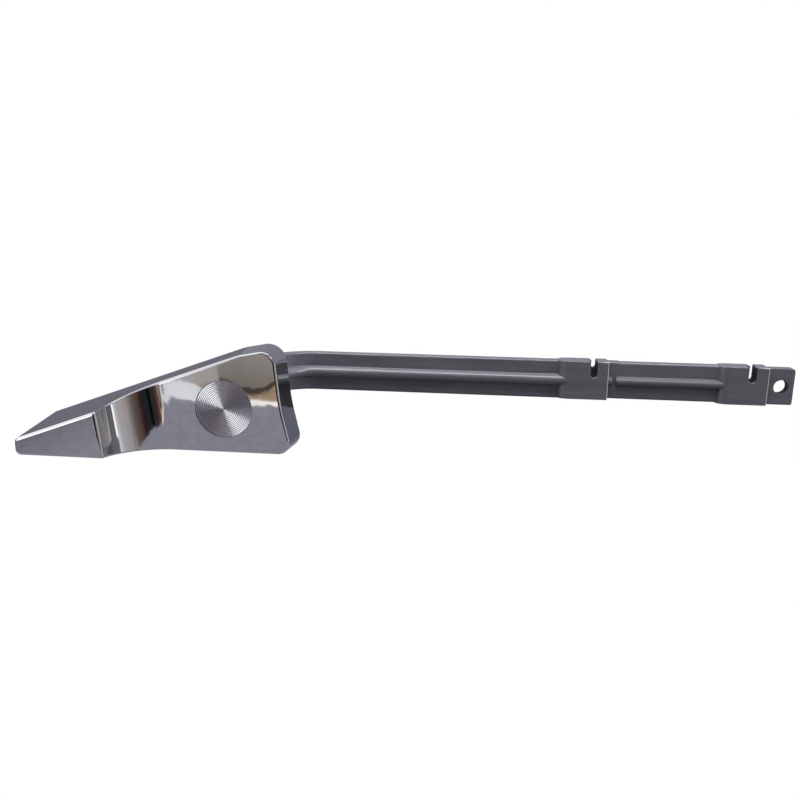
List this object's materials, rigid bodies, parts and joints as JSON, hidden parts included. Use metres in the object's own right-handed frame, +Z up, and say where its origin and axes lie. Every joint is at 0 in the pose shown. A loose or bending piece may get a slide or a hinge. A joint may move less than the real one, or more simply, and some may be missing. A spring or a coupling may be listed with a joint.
{
  "type": "cistern lever",
  "caption": "Front-mounted cistern lever: wedge-shaped chromed handle with a spun disc, threaded bushing and nut, and a bent, ribbed plastic arm with slots and an end hole for a chain.",
  "frame": {"origin": "on the pivot axis, in the plane where the gasket meets the cistern's outer face", "axes": "+X along the arm to its free end, +Y along the pivot into the cistern, +Z up; the handle is on the -Y side"},
  "size_m": [0.2371, 0.077, 0.0312],
  "materials": {
    "chrome_plate": "chrome-plated plastic, mirror bright",
    "spun_aluminium": "turned, with fine concentric grooves",
    "screw_steel": "plain steel",
    "arm_plastic": "moulded, satin",
    "fitting_plastic": "moulded, satin",
    "gasket_rubber": "matt"
  },
  "bodies": {
    "mount": {"mounting_bushing": "fitting_plastic", "gasket": "gasket_rubber"},
    "lever": {"handle": "chrome_plate", "spun_disc": "spun_aluminium", "handle_screw": "screw_steel", "lever_arm": "arm_plastic"},
    "washer": {"nut_washer": "fitting_plastic"},
    "nut": {"mounting_nut": "fitting_plastic"}
  },
  "joints": [
    {"name": "lever_turn", "type": "hinge", "parent": "mount", "child": "lever", "pos_m": [0, 0, 0], "axis": [0, -1, 0], "range_deg": [0, 30]},
    {"name": "washer_slide", "type": "slide", "parent": "mount", "child": "washer", "axis": [0, 1, 0], "range_m": [-0.002, 0.006]},
    {"name": "nut_turn", "type": "hinge", "parent": "washer", "child": "nut", "pos_m": [0, 0.0126, 0], "axis": [0, -1, 0], "range_deg": [-360, 1080]}
  ],
  "couplings": [
    {"joint": "washer_slide", "follows": "nut_turn", "m_per_rad": 0.0003183}
  ]
}
